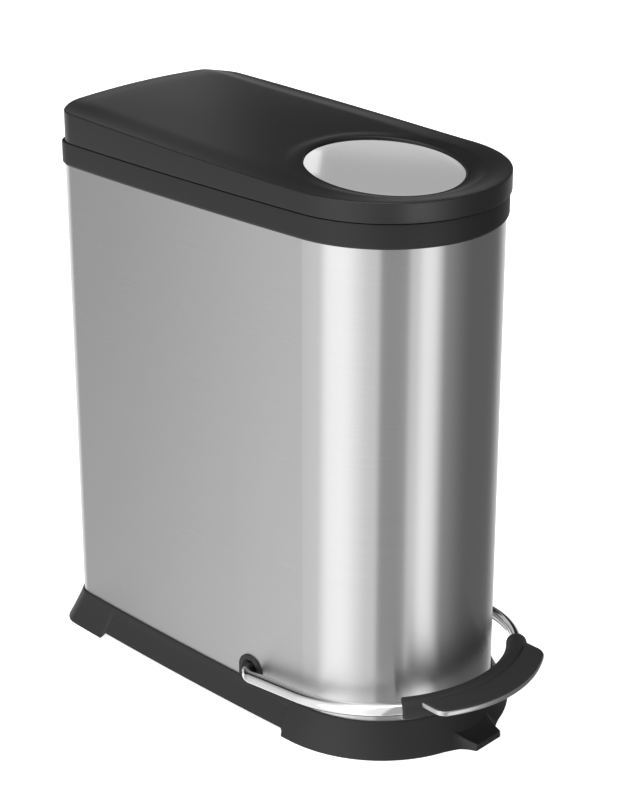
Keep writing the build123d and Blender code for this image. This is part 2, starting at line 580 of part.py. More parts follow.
# ---------------------------------------------------------------------------
# write
# ---------------------------------------------------------------------------
os.makedirs("parts", exist_ok=True)
for old in os.listdir("parts"):
    if old.endswith(".step"):
        os.remove(os.path.join("parts", old))
for name, shape in parts.items():
    moved = Pos(0, -Y_CENTRE, 0) * shape
    solids = moved.solids()
    out = solids[0] if len(solids) == 1 else Compound(solids)
    export_step(out, os.path.join("parts", name + ".step"))
print("Y_CENTRE", round(Y_CENTRE, 4), "nodes", len(parts))
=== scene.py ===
import json
import math

import bmesh
import bpy
import numpy as np
from mathutils import Matrix, Vector


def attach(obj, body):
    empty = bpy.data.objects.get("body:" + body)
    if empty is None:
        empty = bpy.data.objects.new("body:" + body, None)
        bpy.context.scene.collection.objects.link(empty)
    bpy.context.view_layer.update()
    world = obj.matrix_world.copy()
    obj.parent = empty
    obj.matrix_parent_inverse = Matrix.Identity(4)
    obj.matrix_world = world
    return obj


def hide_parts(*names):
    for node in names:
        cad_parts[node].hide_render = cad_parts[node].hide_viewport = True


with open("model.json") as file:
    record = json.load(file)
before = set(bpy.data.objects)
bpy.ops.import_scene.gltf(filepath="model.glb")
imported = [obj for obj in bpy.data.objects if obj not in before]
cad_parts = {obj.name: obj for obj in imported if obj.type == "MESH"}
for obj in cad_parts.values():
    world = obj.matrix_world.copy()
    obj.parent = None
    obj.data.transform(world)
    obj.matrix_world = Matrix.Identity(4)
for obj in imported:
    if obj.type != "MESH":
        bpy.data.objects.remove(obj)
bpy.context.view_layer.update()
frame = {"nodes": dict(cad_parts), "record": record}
N = frame["nodes"]

# ---------------------------------------------------------------------------
# design coordinates: millimetres about the centre of the round front; the
# row frame is metres, moved along y by YC
# ---------------------------------------------------------------------------
YC = 98.7073


def V(x, y, z):
    return Vector((x / 1000.0, (y - YC) / 1000.0, z / 1000.0))


# ---------------------------------------------------------------------------
# materials
# ---------------------------------------------------------------------------


class Mat:
    """Small helper that keeps node building short."""

    def __init__(self, name):
        self.m = bpy.data.materials.new(name)
        self.m.use_nodes = True
        self.t = self.m.node_tree
        self.b = self.t.nodes["Principled BSDF"]
        self.co = self.n("ShaderNodeTexCoord").outputs["Object"]

    def n(self, kind, **kw):
        node = self.t.nodes.new(kind)
        for k, v in kw.items():
            setattr(node, k, v)
        return node

    def link(self, a, b):
        self.t.links.new(a, b)

    def put(self, name, value):
        self.b.inputs[name].default_value = value

    def mapped(self, scale, rot=(0, 0, 0)):
        mp = self.n("ShaderNodeMapping")
        mp.inputs["Scale"].default_value = scale
        mp.inputs["Rotation"].default_value = rot
        self.link(self.co, mp.inputs["Vector"])
        return mp.outputs["Vector"]

    def noise(self, vec, scale=1.0, detail=2.0, rough=0.5):
        nz = self.n("ShaderNodeTexNoise")
        nz.inputs["Scale"].default_value = scale
        nz.inputs["Detail"].default_value = detail
        nz.inputs["Roughness"].default_value = rough
        self.link(vec, nz.inputs["Vector"])
        return nz.outputs["Fac"]

    def span(self, fac, lo, hi, a=0.0, b=1.0):
        r = self.n("ShaderNodeMapRange")
        r.inputs["From Min"].default_value = a
        r.inputs["From Max"].default_value = b
        r.inputs["To Min"].default_value = lo
        r.inputs["To Max"].default_value = hi
        self.link(fac, r.inputs["Value"])
        return r.outputs["Result"]

    def grey(self, fac, lo, hi):
        r = self.n("ShaderNodeValToRGB")
        r.color_ramp.elements[0].color = (*lo, 1) if hasattr(lo, "__len__") else (lo, lo, lo, 1)
        r.color_ramp.elements[1].color = (*hi, 1) if hasattr(hi, "__len__") else (hi, hi, hi, 1)
        self.link(fac, r.inputs["Fac"])
        return r.outputs["Color"]

    def bump(self, height, strength, dist, normal=None):
        bp = self.n("ShaderNodeBump")
        bp.inputs["Strength"].default_value = strength
        bp.inputs["Distance"].default_value = dist
        self.link(height, bp.inputs["Height"])
        if normal is not None:
            self.link(normal, bp.inputs["Normal"])
        self.link(bp.outputs["Normal"], self.b.inputs["Normal"])
        return bp.outputs["Normal"]

    def rounded(self, radius):
        bv = self.n("ShaderNodeBevel", samples=4)
        bv.inputs["Radius"].default_value = radius
        return bv.outputs["Normal"]


def steel_body():
    k = Mat("brushed_body")
    k.put("Metallic", 1.0)
    k.put("Anisotropic", 1.0)
    k.put("Anisotropic Rotation", 0.25)
    tg = k.n("ShaderNodeTangent", direction_type="RADIAL", axis="Z")
    k.link(tg.outputs["Tangent"], k.b.inputs["Tangent"])
    streak = k.noise(k.mapped((9.0, 9.0, 1500.0)), 1.0, 3.0, 0.6)
    cloud = k.noise(k.mapped((3.0, 3.0, 5.0)), 1.0, 2.0, 0.5)
    k.link(k.grey(streak, 0.575, 0.645), k.b.inputs["Base Color"])
    add = k.n("ShaderNodeMath", operation="ADD")
    k.link(k.span(streak, 0.23, 0.29), add.inputs[0])
    k.link(k.span(cloud, -0.015, 0.015), add.inputs[1])
    k.link(add.outputs[0], k.b.inputs["Roughness"])
    k.bump(streak, 0.05, 0.0004)
    return k.m


def steel_plain(name, base, rough, scale=(600.0, 600.0, 600.0)):
    k = Mat(name)
    k.put("Metallic", 1.0)
    f = k.noise(k.mapped(scale), 1.0, 3.0, 0.6)
    k.link(k.grey(f, base * 0.94, base * 1.05), k.b.inputs["Base Color"])
    k.link(k.span(f, rough * 0.85, rough * 1.2), k.b.inputs["Roughness"])
    k.bump(f, 0.04, 0.0003, k.rounded(0.0005))
    return k.m


def plastic(name, base, rough, grain=2200.0, strength=0.12, edge=0.0):
    k = Mat(name)
    fine = k.noise(k.mapped((grain, grain, grain)), 1.0, 2.0, 0.55)
    big = k.noise(k.mapped((7.0, 7.0, 7.0)), 1.0, 3.0, 0.5)
    k.link(k.grey(fine, base * 0.88, base * 1.12), k.b.inputs["Base Color"])
    add = k.n("ShaderNodeMath", operation="ADD")
    k.link(k.span(fine, rough * 0.92, rough * 1.08), add.inputs[0])
    k.link(k.span(big, -0.02, 0.02), add.inputs[1])
    k.link(add.outputs[0], k.b.inputs["Roughness"])
    k.bump(fine, strength, 0.0003, k.rounded(edge) if edge else None)
    return k.m


MATS = {
    "brushed_body": steel_body(),
    "disc_steel": steel_plain("disc_steel", 0.62, 0.13),
    "tread_steel": steel_plain("tread_steel", 0.6, 0.3),
    "plain_steel": steel_plain("plain_steel", 0.5, 0.36),
    "screw_steel": steel_plain("screw_steel", 0.6, 0.25),
    "bright_tube": steel_plain("bright_tube", 0.9, 0.06),
    "lid_plastic": plastic("lid_plastic", 0.010, 0.40),
    "rim_plastic": plastic("rim_plastic", 0.008, 0.52),
    "base_plastic": plastic("base_plastic", 0.014, 0.48),
    "bush_plastic": plastic("bush_plastic", 0.014, 0.4, edge=0.0006),
    "inner_plastic": plastic("inner_plastic", 0.05, 0.5, edge=0.0006),
    "bucket_plastic": plastic("bucket_plastic", 0.06, 0.45, edge=0.0007),
    "sleeve_rubber": plastic("sleeve_rubber", 0.017, 0.6, grain=1500.0),
    "tread_rubber": plastic("tread_rubber", 0.023, 0.6, grain=1500.0),
    "foot_rubber": plastic("foot_rubber", 0.03, 0.7, grain=1200.0, edge=0.0006),
}
SLOT = {
    s["node"]: s["material_slot"] for s in frame["record"]["subparts"] if s.get("material_slot")
}


def paint(obj, name):
    obj.data.materials.clear()
    obj.data.materials.append(MATS[name])
    return obj


for _n, _o in N.items():
    paint(_o, SLOT[_n])

# ---------------------------------------------------------------------------
# geometry helpers: rings of points with equal counts, bridged to closed
# meshes; all in design millimetres until an object is made
# ---------------------------------------------------------------------------
FRONT_R, SIDE_BOW, SIDE_MID_Y, REAR_Y, REAR_C = 125.0, 3.0, 175.0, 374.5, 24.0
SIDE_R = SIDE_MID_Y ** 2 / (2 * SIDE_BOW) + SIDE_BOW / 2
SIDE_CX = SIDE_R - (FRONT_R + SIDE_BOW)
_d = math.hypot(SIDE_CX, SIDE_MID_Y)
TX, TY = -SIDE_CX / _d, -SIDE_MID_Y / _d


def side_x(y, off=0.0):
    if y < FRONT_R * TY:
        return math.sqrt(max(0.0, (FRONT_R + off) ** 2 - y ** 2))
    return math.sqrt((SIDE_R + off) ** 2 - (y - SIDE_MID_Y) ** 2) - SIDE_CX


def smooth(t):
    t = min(1.0, max(0.0, t))
    return t * t * (3 - 2 * t)


def outline(off, rear=None, corner=None, dy=0.0, stations=None, n_front=112, n_corner=16, n_rear=28):
    """Closed loop of the D-shaped plan, counterclockwise from the right end of the round front."""
    rear = REAR_Y + off if rear is None else rear
    corner = max(3.0, REAR_C + off) if corner is None else corner
    r, sr = FRONT_R + off, SIDE_R + off
    stations = [i / 48.0 for i in range(49)] if stations is None else stations
    xc = math.sqrt((sr - corner) ** 2 - (rear - corner - SIDE_MID_Y) ** 2) - SIDE_CX
    phi1 = math.atan2(rear - corner - SIDE_MID_Y, xc + SIDE_CX)
    phi0 = math.atan2(TY * r - SIDE_MID_Y, -TX * r + SIDE_CX)
    right = []
    for t in stations:
        a = phi0 + (phi1 - phi0) * t
        right.append((sr * math.cos(a) - SIDE_CX, SIDE_MID_Y + sr * math.sin(a)))
    for i in range(1, n_corner + 1):
        a = phi1 + (math.pi / 2 - phi1) * i / n_corner
        right.append((xc + corner * math.cos(a), rear - corner + corner * math.sin(a)))
    pts = list(right)
    for i in range(1, n_rear):
        pts.append((xc - 2 * xc * i / n_rear, rear))
    left = [(-x, y) for x, y in reversed(right)]
    pts += left
    a0, a1 = math.atan2(TY, TX), math.atan2(TY, -TX)
    for i in range(1, n_front):
        a = a0 + (a1 - a0) * i / n_front
        pts.append((r * math.cos(a), r * math.sin(a)))
    return [(x, y + dy) for x, y in pts]


class Mesh:
    def __init__(self):
        self.bm = bmesh.new()

    def ring(self, pts):
        return [self.bm.verts.new(V(*p)) for p in pts]

    def bridge(self, a, b, closed=True):
        n = len(a)
        for i in range(n if closed else n - 1):
            j = (i + 1) % n
            self.bm.faces.new((a[i], a[j], b[j], b[i]))

    def chain(self, rings, loop=False, closed=True):
        rs = [self.ring(p) for p in rings]
        for a, b in zip(rs, rs[1:]):
            self.bridge(a, b, closed)
        if loop:
            self.bridge(rs[-1], rs[0], closed)
        return rs

    def fan(self, ring, centre):
        c = self.bm.verts.new(V(*centre))
        n = len(ring)
        for i in range(n):
            self.bm.faces.new((ring[i], ring[(i + 1) % n], c))

    def ngon(self, ring):
        self.bm.faces.new(ring)

    def solid(self, pts, x0, x1, bevel=0.6, seg=3, make=None):
        """Closed plate of the (y, z) outline between x0 and x1, with rounded edges."""
        make = make or (lambda x, p: (x, p[0], p[1]))
        b = bmesh.new()
        lo = [b.verts.new(V(*make(x0, p))) for p in pts]
        hi = [b.verts.new(V(*make(x1, p))) for p in pts]
        b.faces.new(lo)
        b.faces.new(hi)
        n = len(pts)
        for i in range(n):
            j = (i + 1) % n
            b.faces.new((lo[i], lo[j], hi[j], hi[i]))
        bmesh.ops.recalc_face_normals(b, faces=b.faces[:])
        if bevel:
            edges = [e for e in b.edges if e.is_manifold and e.calc_face_angle(0) > math.radians(25)]
            bmesh.ops.bevel(b, geom=edges, offset=bevel / 1000.0, segments=seg, profile=0.5, affect="EDGES", clamp_overlap=True)
        tmp = bpy.data.meshes.new("tmp")
        b.to_mesh(tmp)
        b.free()
        self.bm.from_mesh(tmp)
        bpy.data.meshes.remove(tmp)

    def obj(self, name, body, slot, angle=32.0, replaces=()):
        bmesh.ops.recalc_face_normals(self.bm, faces=self.bm.faces[:])
        me = bpy.data.meshes.new(name)
        self.bm.to_mesh(me)
        self.bm.free()
        for p in me.polygons:
            p.use_smooth = True
        me.set_sharp_from_angle(angle=math.radians(angle))
        ob = bpy.data.objects.new(name, me)
        bpy.context.scene.collection.objects.link(ob)
        paint(ob, slot)
        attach(ob, body)
        if replaces:
            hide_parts(*replaces)
        return ob


def circle(n, r, cx=0.0, cy=0.0, a0=0.0):
    return [(cx + r * math.cos(a0 + 2 * math.pi * i / n), cy + r * math.sin(a0 + 2 * math.pi * i / n)) for i in range(n)]


def arc(r, a0, a1, n, cx=0.0, cy=0.0):
    return [(cx + r * math.cos(math.radians(a0 + (a1 - a0) * i / n)), cy + r * math.sin(math.radians(a0 + (a1 - a0) * i / n))) for i in range(n + 1)]


# ---------------------------------------------------------------------------
# lid
# ---------------------------------------------------------------------------
HINGE_Y, HINGE_Z = 383.5, 591.5
LID_Z0, LID_SHIFT, LID_OUT, LID_REAR_Y, LID_CORNER_R = 590.5, -2.5, 3.0, 373.5, 30.0
DISC_R, DISC_Z, DISC_SLOPE = 83.0, 609.1, 0.09
RECESS_R = DISC_R + 0.15


def crease(y):
    s = 0.5 * (y + math.sqrt(y * y + 40.0 ** 2)) - 20.0
    return 612.5 + 0.0357 * s


def lid_top(x, y):
    yy = y - LID_SHIFT
    if yy < 0:
        d = FRONT_R + LID_OUT - math.hypot(x, yy)
    else:
        d = side_x(min(max(yy, 0), 400), LID_OUT) - abs(x)
    w = smooth(d / 36.0)
    ramp = smooth((y - 60) / 260.0)
    p = 613.0 + 0.0575 * y - 3.0 * (x / 93.0) ** 2 * ramp
    p -= 1.6 * smooth((y - 345) / 30.0)
    z = crease(y) + (p - crease(y)) * w
    r = math.hypot(x, y)
    lip = 611.2 + 0.10 * max(-90.0, min(90.0, y))
    z += (lip - z) * smooth((104.0 - r) / 20.0)
    return z - 0.05


def disc_z(x, y, depth=0.0):
    return DISC_Z + DISC_SLOPE * y - depth


def dish(r):
    """Depth of the spun disc's shallow dish below its edge at radius r."""
    t = min(1.0, r / 80.0)
    return 2.3 * (1 - t * t) + 0.2 * (1 - t ** 30)


def lid_ring(inset):
    return outline(LID_OUT - inset, rear=LID_REAR_Y - LID_SHIFT - inset, corner=LID_CORNER_R - inset, dy=LID_SHIFT)


def build_lid():
    m = Mesh()
    rings = []
    # inside of the skirt, from above downwards, then round the lower edge
    rings.append([(x, y, lid_top(x, y) - 3.4) for x, y in lid_ring(2.8)])
    rings.append([(x, y, 600.0) for x, y in lid_ring(2.8)])
    rings.append([(x, y, 591.0) for x, y in lid_ring(2.8)])
    rings.append([(x, y, LID_Z0 + 0.12) for x, y in lid_ring(2.6)])
    rings.append([(x, y, LID_Z0) for x, y in lid_ring(2.2)])
    rings.append([(x, y, LID_Z0) for x, y in lid_ring(0.7)])
    rings.append([(x, y, LID_Z0 + 0.12) for x, y in lid_ring(0.3)])
    rings.append([(x, y, LID_Z0 + 0.45) for x, y in lid_ring(0.06)])
    rings.append([(x, y, LID_Z0 + 0.9) for x, y in lid_ring(0.0)])
    rings.append([(x, y, 597.0) for x, y in lid_ring(0.0)])
    rings.append([(x, y, 604.0) for x, y in lid_ring(0.0)])
    R = 1.5
    for k in range(0, 7):
        a = math.radians(90.0 * k / 6)
        rings.append([(x, y, lid_top(x, y) - R * (1 - math.sin(a))) for x, y in lid_ring(R * (1 - math.cos(a)))])
    for d in (2.4, 3.6, 5.0, 6.6, 8.4, 10.4, 12.6, 15.0, 17.5, 20.0):
        rings.append([(x, y, lid_top(x, y)) for x, y in lid_ring(d)])
    start = lid_ring(20.0)
    r1 = RECESS_R + 1.4
    M = 46
    for k in range(1, M + 1):
        u = (1 - k / M) ** 1.7
        ring = []
        for x, y in start:
            rad = math.hypot(x, y)
            q = r1 + (rad - r1) * u
            xx, yy = x * q / rad, y * q / rad
            ring.append((xx, yy, lid_top(xx, yy)))
        rings.append(ring)
    for k in range(1, 6):
        a = math.radians(90.0 * k / 5)
        q = r1 - 1.4 * math.sin(a)
        ring = []
        for x, y in start:
            rad = math.hypot(x, y)
            xx, yy = x * q / rad, y * q / rad
            ring.append((xx, yy, lid_top(x * r1 / rad, y * r1 / rad) - 1.4 * (1 - math.cos(a))))
        rings.append(ring)
    unit = [(x / math.hypot(x, y), y / math.hypot(x, y)) for x, y in start]
    for q, dep in ((RECESS_R, 1.25), (80.5, 1.3), (80.45, 3.9), (40.0, 3.9)):
        rings.append([(x * q, y * q, disc_z(x * q, y * q, dep)) for x, y in unit])
    rs = m.chain(rings)
    m.fan(rs[-1], (0, 0, DISC_Z - 3.9))
    # underside, inwards from the top of the inner skirt
    under = []
    for k in range(0, 11):
        u = (1 - k / 10.0)
        ring = []
        for x, y in lid_ring(2.8):
            rad = math.hypot(x, y)
            q = 88.5 + (rad - 88.5) * u
            xx, yy = x * q / rad, y * q / rad
            ring.append((xx, yy, lid_top(xx, yy) - (3.4 if k == 0 else 2.9)))
        under.append(ring)
    prev = rs[0]
    for ring in under[1:]:
        cur = m.ring(ring)
        m.bridge(prev, cur)
        prev = cur
    for q, dep in ((86.5, 4.9), (40.0, 4.9)):
        cur = m.ring([(x * q, y * q, disc_z(x * q, y * q, dep)) for x, y in unit])
        m.bridge(prev, cur)
        prev = cur
    m.fan(prev, (0, 0, DISC_Z - 4.9))
    # hinge ears with their arms, and the block that the crank is screwed to
    ear = arc(5.0, 52.0, -168.0, 18, HINGE_Y, HINGE_Z) + [(371.4, 594.6), (371.4, 606.0), (381.5, 599.0)]
    for s in (-1, 1):
        m.solid(ear, s * 46.6, s * 60.0, 0.5, 3)
    m.solid([(344, 604.5), (369.5, 604.5), (369.5, 628.0), (344, 628.0)], -11, 11, 0.6, 2)
    return m.obj("lid_top_moulding", "lid", "lid_plastic", 30.0, ["lid_shell"])


def build_disc():
    m = Mesh()
    n = 192
    prof = [(82.55, 1.15), (82.95, 0.85), (83.0, 0.5), (82.85, 0.18), (82.4, 0.02), (81.7, 0.0), (81.0, 0.03)]
    prof += [(r, dish(r) + 0.05) for r in (80.0, 79.2, 78.3, 77.2, 76, 74.5, 73, 71, 69, 66.5, 64, 61, 57, 52, 46, 39, 31, 22, 12, 5)]
    rings = [[(x, y, disc_z(x, y, d)) for x, y in circle(n, r)] for r, d in prof]
    rs = m.chain(rings)
    m.fan(rs[-1], (0, 0, DISC_Z - dish(0)))
    low = m.chain([[(x, y, disc_z(x, y, dish(r) + 1.05 if r < 79 else 1.2)) for x, y in circle(n, r)] for r in (82.0, 78.0, 60.0, 30.0, 5.0)])
    m.bridge(rs[0], low[0])
    m.fan(low[-1], (0, 0, DISC_Z - dish(0) - 1.05))
    return m.obj("lid_disc_spun", "lid", "disc_steel", 40.0, ["lid_disc"])


build_lid()
build_disc()

# ---------------------------------------------------------------------------
# top rim
# ---------------------------------------------------------------------------


def build_rim():
    m = Mesh()
    W = dict

    def o(off, z, rear=None, corner=None):
        return [(x, y, z) for x, y in outline(off, rear=rear, corner=corner)]

    top = 589.5
    rings = [
        o(0.12, 563.2), o(0.7, 563.2), o(0.95, 563.3), o(2.7, 565.5), o(2.95, 566.0), o(3.0, 566.6), o(3.0, 575.0), o(3.0, 588.4),
        o(2.93, 588.9), o(2.7, 589.25), o(2.35, 589.45), o(1.8, top),
        o(-3.0, top, rear=352.0, corner=14.0),
        o(-6.2, top, rear=336.8, corner=12.8), o(-6.6, top - 0.1, rear=336.4, corner=12.4), o(-6.9, top - 0.4, rear=336.1, corner=12.1), o(-7.0, top - 0.9, rear=336.0, corner=12.0),
        o(-7.0, 576.0, rear=336.0, corner=12.0), o(-7.3, 575.3, rear=335.7, corner=11.7), o(-8.0, 575.0, rear=335.0, corner=11.0),
        o(-15.3, 575.0, rear=327.7, corner=8.7), o(-15.8, 574.8, rear=327.2, corner=8.2), o(-16.0, 574.3, rear=327.0, corner=8.0),
        o(-16.0, 571.0, rear=327.0, corner=8.0), o(-4.0, 571.0), o(-3.9, 553.6), o(-3.4, 553.0), o(-1.9, 553.0), o(-1.4, 553.6), o(-1.4, 563.2),
    ]
    m.chain(rings, loop=True)
    ob = m.obj("top_rim_ring", "bin_body", "rim_plastic", 32.0, ["top_rim"])
    # the slot that the lid's crank swings through
    bpy.context.view_layer.update()
    c = bmesh.new()
    bmesh.ops.create_cube(c, size=1.0)
    cm = bpy.data.meshes.new("cut")
    c.to_mesh(cm)
    c.free()
    cut = bpy.data.objects.new("cut", cm)
    bpy.context.scene.collection.objects.link(cut)
    lo, hi = V(-15, 330.0, 560.0), V(15, 368.9, 596.0)
    cut.location = (lo + hi) / 2
    cut.scale = hi - lo
    md = ob.modifiers.new("slot", "BOOLEAN")
    md.operation = "DIFFERENCE"
    md.object = cut
    md.solver = "EXACT"
    bpy.context.view_layer.update()
    dg = bpy.context.evaluated_depsgraph_get()
    done = bpy.data.meshes.new_from_object(ob.evaluated_get(dg))
    ob.modifiers.clear()
    old = ob.data
    ob.data = done
    bpy.data.meshes.remove(old)
    bpy.data.objects.remove(cut)
    done.set_sharp_from_angle(angle=math.radians(32))
    # bar between the buckets, hinge knuckle
    m = Mesh()
    xb = side_x(112.0, -6.8)
    m.solid([(103.2, 571.0), (120.8, 571.0), (120.8, 575.0), (103.2, 575.0)], -xb, xb, 0.7, 3)
    root = arc(5.0, -42.0, 175.0, 18, HINGE_Y, HINGE_Z) + [(375.4, 588.6), (375.4, 572.4), (378.6, 573.4)]
    m.solid(root, -46.0, 46.0, 0.5, 3)
    m.obj("top_rim_bar_knuckle", "bin_body", "rim_plastic", 30.0)
    return ob


build_rim()

# ---------------------------------------------------------------------------
# base moulding with its flared skirt and toe
# ---------------------------------------------------------------------------
BASE_TOP = 36.0


def flare(z):
    t = min(1.0, max(0.0, 1 - z / BASE_TOP))
    return 2.0 + 18.5 * t ** 1.12


def rear_flare(z):
    t = min(1.0, max(0.0, 1 - z / BASE_TOP))
    return REAR_Y + 2.0 + 10.0 * t ** 1.12


def base_stations():
    # finer near the ends of the raised part of the lower edge
    span = 350.0
    ys = [0.0]
    ys += [i * 3.0 for i in range(1, 3)]
    ys += [8.0 + 0.6 * i for i in range(0, 13)]
    ys += [18.0 + i * 8.6 for i in range(0, 33)]
    ys += [297.5 + 0.6 * i for i in range(0, 13)]
    ys += [308.0 + 6.0 * i for i in range(0, 7)]
    ys.append(span)
    ys = sorted(set(round(v, 3) for v in ys if v <= span))
    return [v / span for v in ys]


BST = base_stations()


def arch(x, y):
    """1 along the raised part of the lower edge on the long sides, 0 at the feet."""
    if abs(x) < 90:
        return 0.0
    return smooth((y - 9.0) / 3.6) * smooth((304.0 - y) / 3.6)


def build_base():
    m = Mesh()

    def o(z, inset=0.0, lift=True, dz=0.0):
        pts = outline(flare(z) - inset, rear=rear_flare(z) - inset, corner=27.0 + 4 * (1 - z / BASE_TOP) - inset, stations=BST)
        return pts

    rings = []

    def skirt(tau, inset=0.0, dz=0.0):
        # a ring at share tau of the skirt's height above its lower edge
        out = []
        base_pts = outline(0.0, stations=BST)
        for i, (bx, by) in enumerate(base_pts):
            b = arch(bx, by)
            zb = 6.0 * b
            z = zb + (BASE_TOP - zb) * tau
            depth = 1.7 * b * smooth((31.0 - z) / 3.0)
            key = (round(z, 2))
            out.append((i, z, inset + depth, dz))
        return out

    cache = {}

    def point(i, z, inset):
        k = (round(z, 2), round(inset, 2))
        if k not in cache:
            zz = min(max(z, 0.0), BASE_TOP)
            cache[k] = outline(flare(zz) - inset, rear=rear_flare(zz) - inset, corner=27.0 + 4 * (1 - zz / BASE_TOP) - inset, stations=BST)
        return cache[k][i]

    def ring(tau, inset=0.0, dz=0.0):
        out = []
        for i, z, ins, d in skirt(tau, inset, dz):
            x, y = point(i, z, ins)
            out.append((x, y, z + d))
        return out

    # underside of the skirt, then its outside upwards, then inside under the steel
    rings.append(ring(0.22, 3.0))
    rings.append(ring(0.02, 3.0))
    rings.append(ring(0.0, 2.6))
    rings.append(ring(0.0, 0.9))
    rings.append(ring(0.008, 0.35))
    rings.append(ring(0.024, 0.08))
    rings.append(ring(0.05, 0.0))
    for t in (0.1, 0.16, 0.23, 0.31, 0.4, 0.5, 0.6, 0.7, 0.76, 0.8, 0.84, 0.88, 0.93, 0.965):
        rings.append(ring(t))
    rings.append([(x, y, 35.55) for x, y in outline(2.0, rear=REAR_Y + 2.0, corner=27.0, stations=BST)])
    rings.append([(x, y, 35.88) for x, y in outline(1.6, rear=REAR_Y + 1.6, corner=26.6, stations=BST)])
    rings.append([(x, y, 36.0) for x, y in outline(1.1, rear=REAR_Y + 1.1, corner=26.1, stations=BST)])
    rings.append([(x, y, 36.0) for x, y in outline(-0.9, rear=REAR_Y - 0.9, corner=24.0, stations=BST)])
    rings.append([(x, y, 36.0) for x, y in outline(-6.0, rear=REAR_Y - 6.0, corner=18.0, stations=BST)])
    rings.append([(x, y, 11.0) for x, y in outline(-6.0, rear=REAR_Y - 6.0, corner=18.0, stations=BST)])
    rs = m.chain(rings)
    inner = [(x, y) for x, y in outline(-6.0, rear=REAR_Y - 6.0, corner=18.0, stations=BST)]
    cur = m.ring([(x * 0.5, 120 + (y - 120) * 0.5, 11.0) for x, y in inner])
    m.bridge(rs[-1], cur)
    m.fan(cur, (0, 120, 11.0))
    cur = m.ring([(x * 0.5, 120 + (y - 120) * 0.5, 8.0) for x, y in inner])
    m.bridge(rs[0], cur)
    m.fan(cur, (0, 120, 8.0))
    # toe in front: flanks that sweep out of the skirt, a ridge along each side, a top that is slightly hollow
    def along(t, table):
        for (t0, v0), (t1, v1) in zip(table, table[1:]):
            if t <= t1:
                break
        u = (t - t0) / (t1 - t0)
        return v0 + (v1 - v0) * u

    WB = [(0.0, 20.0), (0.3, 24.0), (0.55, 28.4), (0.72, 32.6), (0.86, 38.2), (1.0, 46.5)]
    YB = [(0.0, -160.7), (0.3, -152.2), (0.55, -146.4), (0.72, -143.3), (0.86, -140.9), (1.0, -136.8)]
    WT = [(0.0, 19.3), (0.3, 21.6), (0.55, 23.8), (0.72, 25.4), (0.86, 27.6), (1.0, 31.5)]
    YT = [(0.0, -160.0), (0.3, -150.6), (0.55, -143.0), (0.72, -138.2), (0.86, -134.2), (1.0, -128.5)]
    ZT = [(0.0, 7.9), (0.3, 9.4), (0.55, 11.4), (0.72, 13.2), (0.86, 15.2), (1.0, 18.5)]
    steps = 34
    fine = {}
    for key, table in (("wb", WB), ("yb", YB), ("wt", WT), ("yt", YT), ("zt", ZT)):
        v = [along(i / steps, table) for i in range(steps + 1)]
        for _ in range(14):
            v = [v[0]] + [(v[i - 1] + 2 * v[i] + v[i + 1]) / 4 for i in range(1, steps)] + [v[-1]]
        fine[key] = v

    def toe_ring(i, ins=0.0, fwd=0.0):
        wb, yb, wtop, yt, zt = (fine[k][i] for k in ("wb", "yb", "wt", "yt", "zt"))
        half = []
        for q in (0.0, 0.06, 0.2, 0.4, 0.6, 0.78, 0.9):
            bow = 1.1 * math.sin(math.pi * q) * (i / steps)
            half.append((wb + (wtop - wb) * q - bow, yb + (yt - yb) * q, zt * q))
        dz = zt - 0.9 * zt
        for c, h, k in ((0.10, 0.97, 0.0), (0.45, 1.0, 0.0), (1.0, 1.0, 0.0), (1.7, 1.0, -0.22), (3.0, 1.0, -0.55), (6.0, 1.0, -0.75), (11.0, 1.0, -0.8)):
            half.append((wtop - c, yt, zt * h + k))
        out = [(max(0.0, x - ins), y - fwd, min(z, zt - ins) if z > 0 else 0.0) for x, y, z in half]
        return [(-x, y, z) for x, y, z in out] + [(x, y, z) for x, y, z in reversed(out)]

    rings = [toe_ring(0, 0.75, 0.0), toe_ring(0, 0.25, -0.25), toe_ring(0, 0.0, -0.8)]
    rings[0] = [(x, -160.7, z) for x, y, z in rings[0]]
    rings[1] = [(x, -160.55, z) for x, y, z in rings[1]]
    rings[2] = [(x, max(y, -160.1), z) for x, y, z in rings[2]]
    rings += [toe_ring(i) for i in range(1, steps + 1)]
    ts = m.chain(rings)
    m.fan(ts[0], (0, -160.7, 3.5))
    m.fan(ts[-1], (0, -127.0, 8.0))
    return m.obj("base_skirt", "bin_body", "base_plastic", 34.0, ["base_moulding"])


build_base()

# ---------------------------------------------------------------------------
# pedal bushes
# ---------------------------------------------------------------------------
PIVOT_Y, PIVOT_Z = 73.0, 49.5
WALL_X = side_x(PIVOT_Y)


